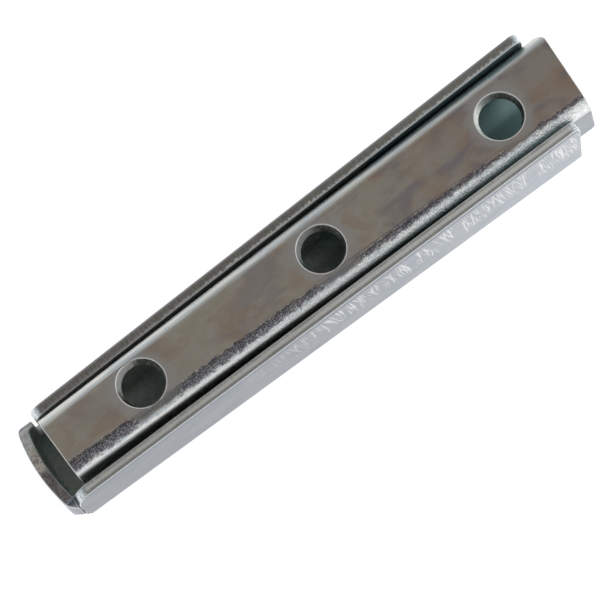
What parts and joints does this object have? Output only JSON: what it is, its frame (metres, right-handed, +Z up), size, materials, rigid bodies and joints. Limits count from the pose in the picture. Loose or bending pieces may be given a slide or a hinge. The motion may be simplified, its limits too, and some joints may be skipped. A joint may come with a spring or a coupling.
{
  "type": "nested sheet steel spreader",
  "caption": "Tapered pressed-steel tray with a turned-up nose, holding a punched inverted-U channel that slides lengthwise in it.",
  "frame": {"origin": "centre of the rest pose's bounding box in X and Y, on the tray's flat underside", "axes": "+X along the length towards the tray's open end, +Y across, +Z up out of the tray's mouth"},
  "size_m": [0.1538, 0.0279, 0.0287],
  "materials": {
    "tray_zinc": "bright zinc plating, lightly scratched, burr on the sheared rims",
    "channel_zinc": "bright zinc plating with faint yellow-brown iridescence, spangled along the bend"
  },
  "bodies": {
    "tray": {"outer_tray": "tray_zinc"},
    "channel": {"inner_channel": "channel_zinc"}
  },
  "joints": [
    {"name": "channel_slide", "type": "slide", "parent": "tray", "child": "channel", "axis": [1, 0, 0], "range_m": [-0.003, 0.05]}
  ]
}
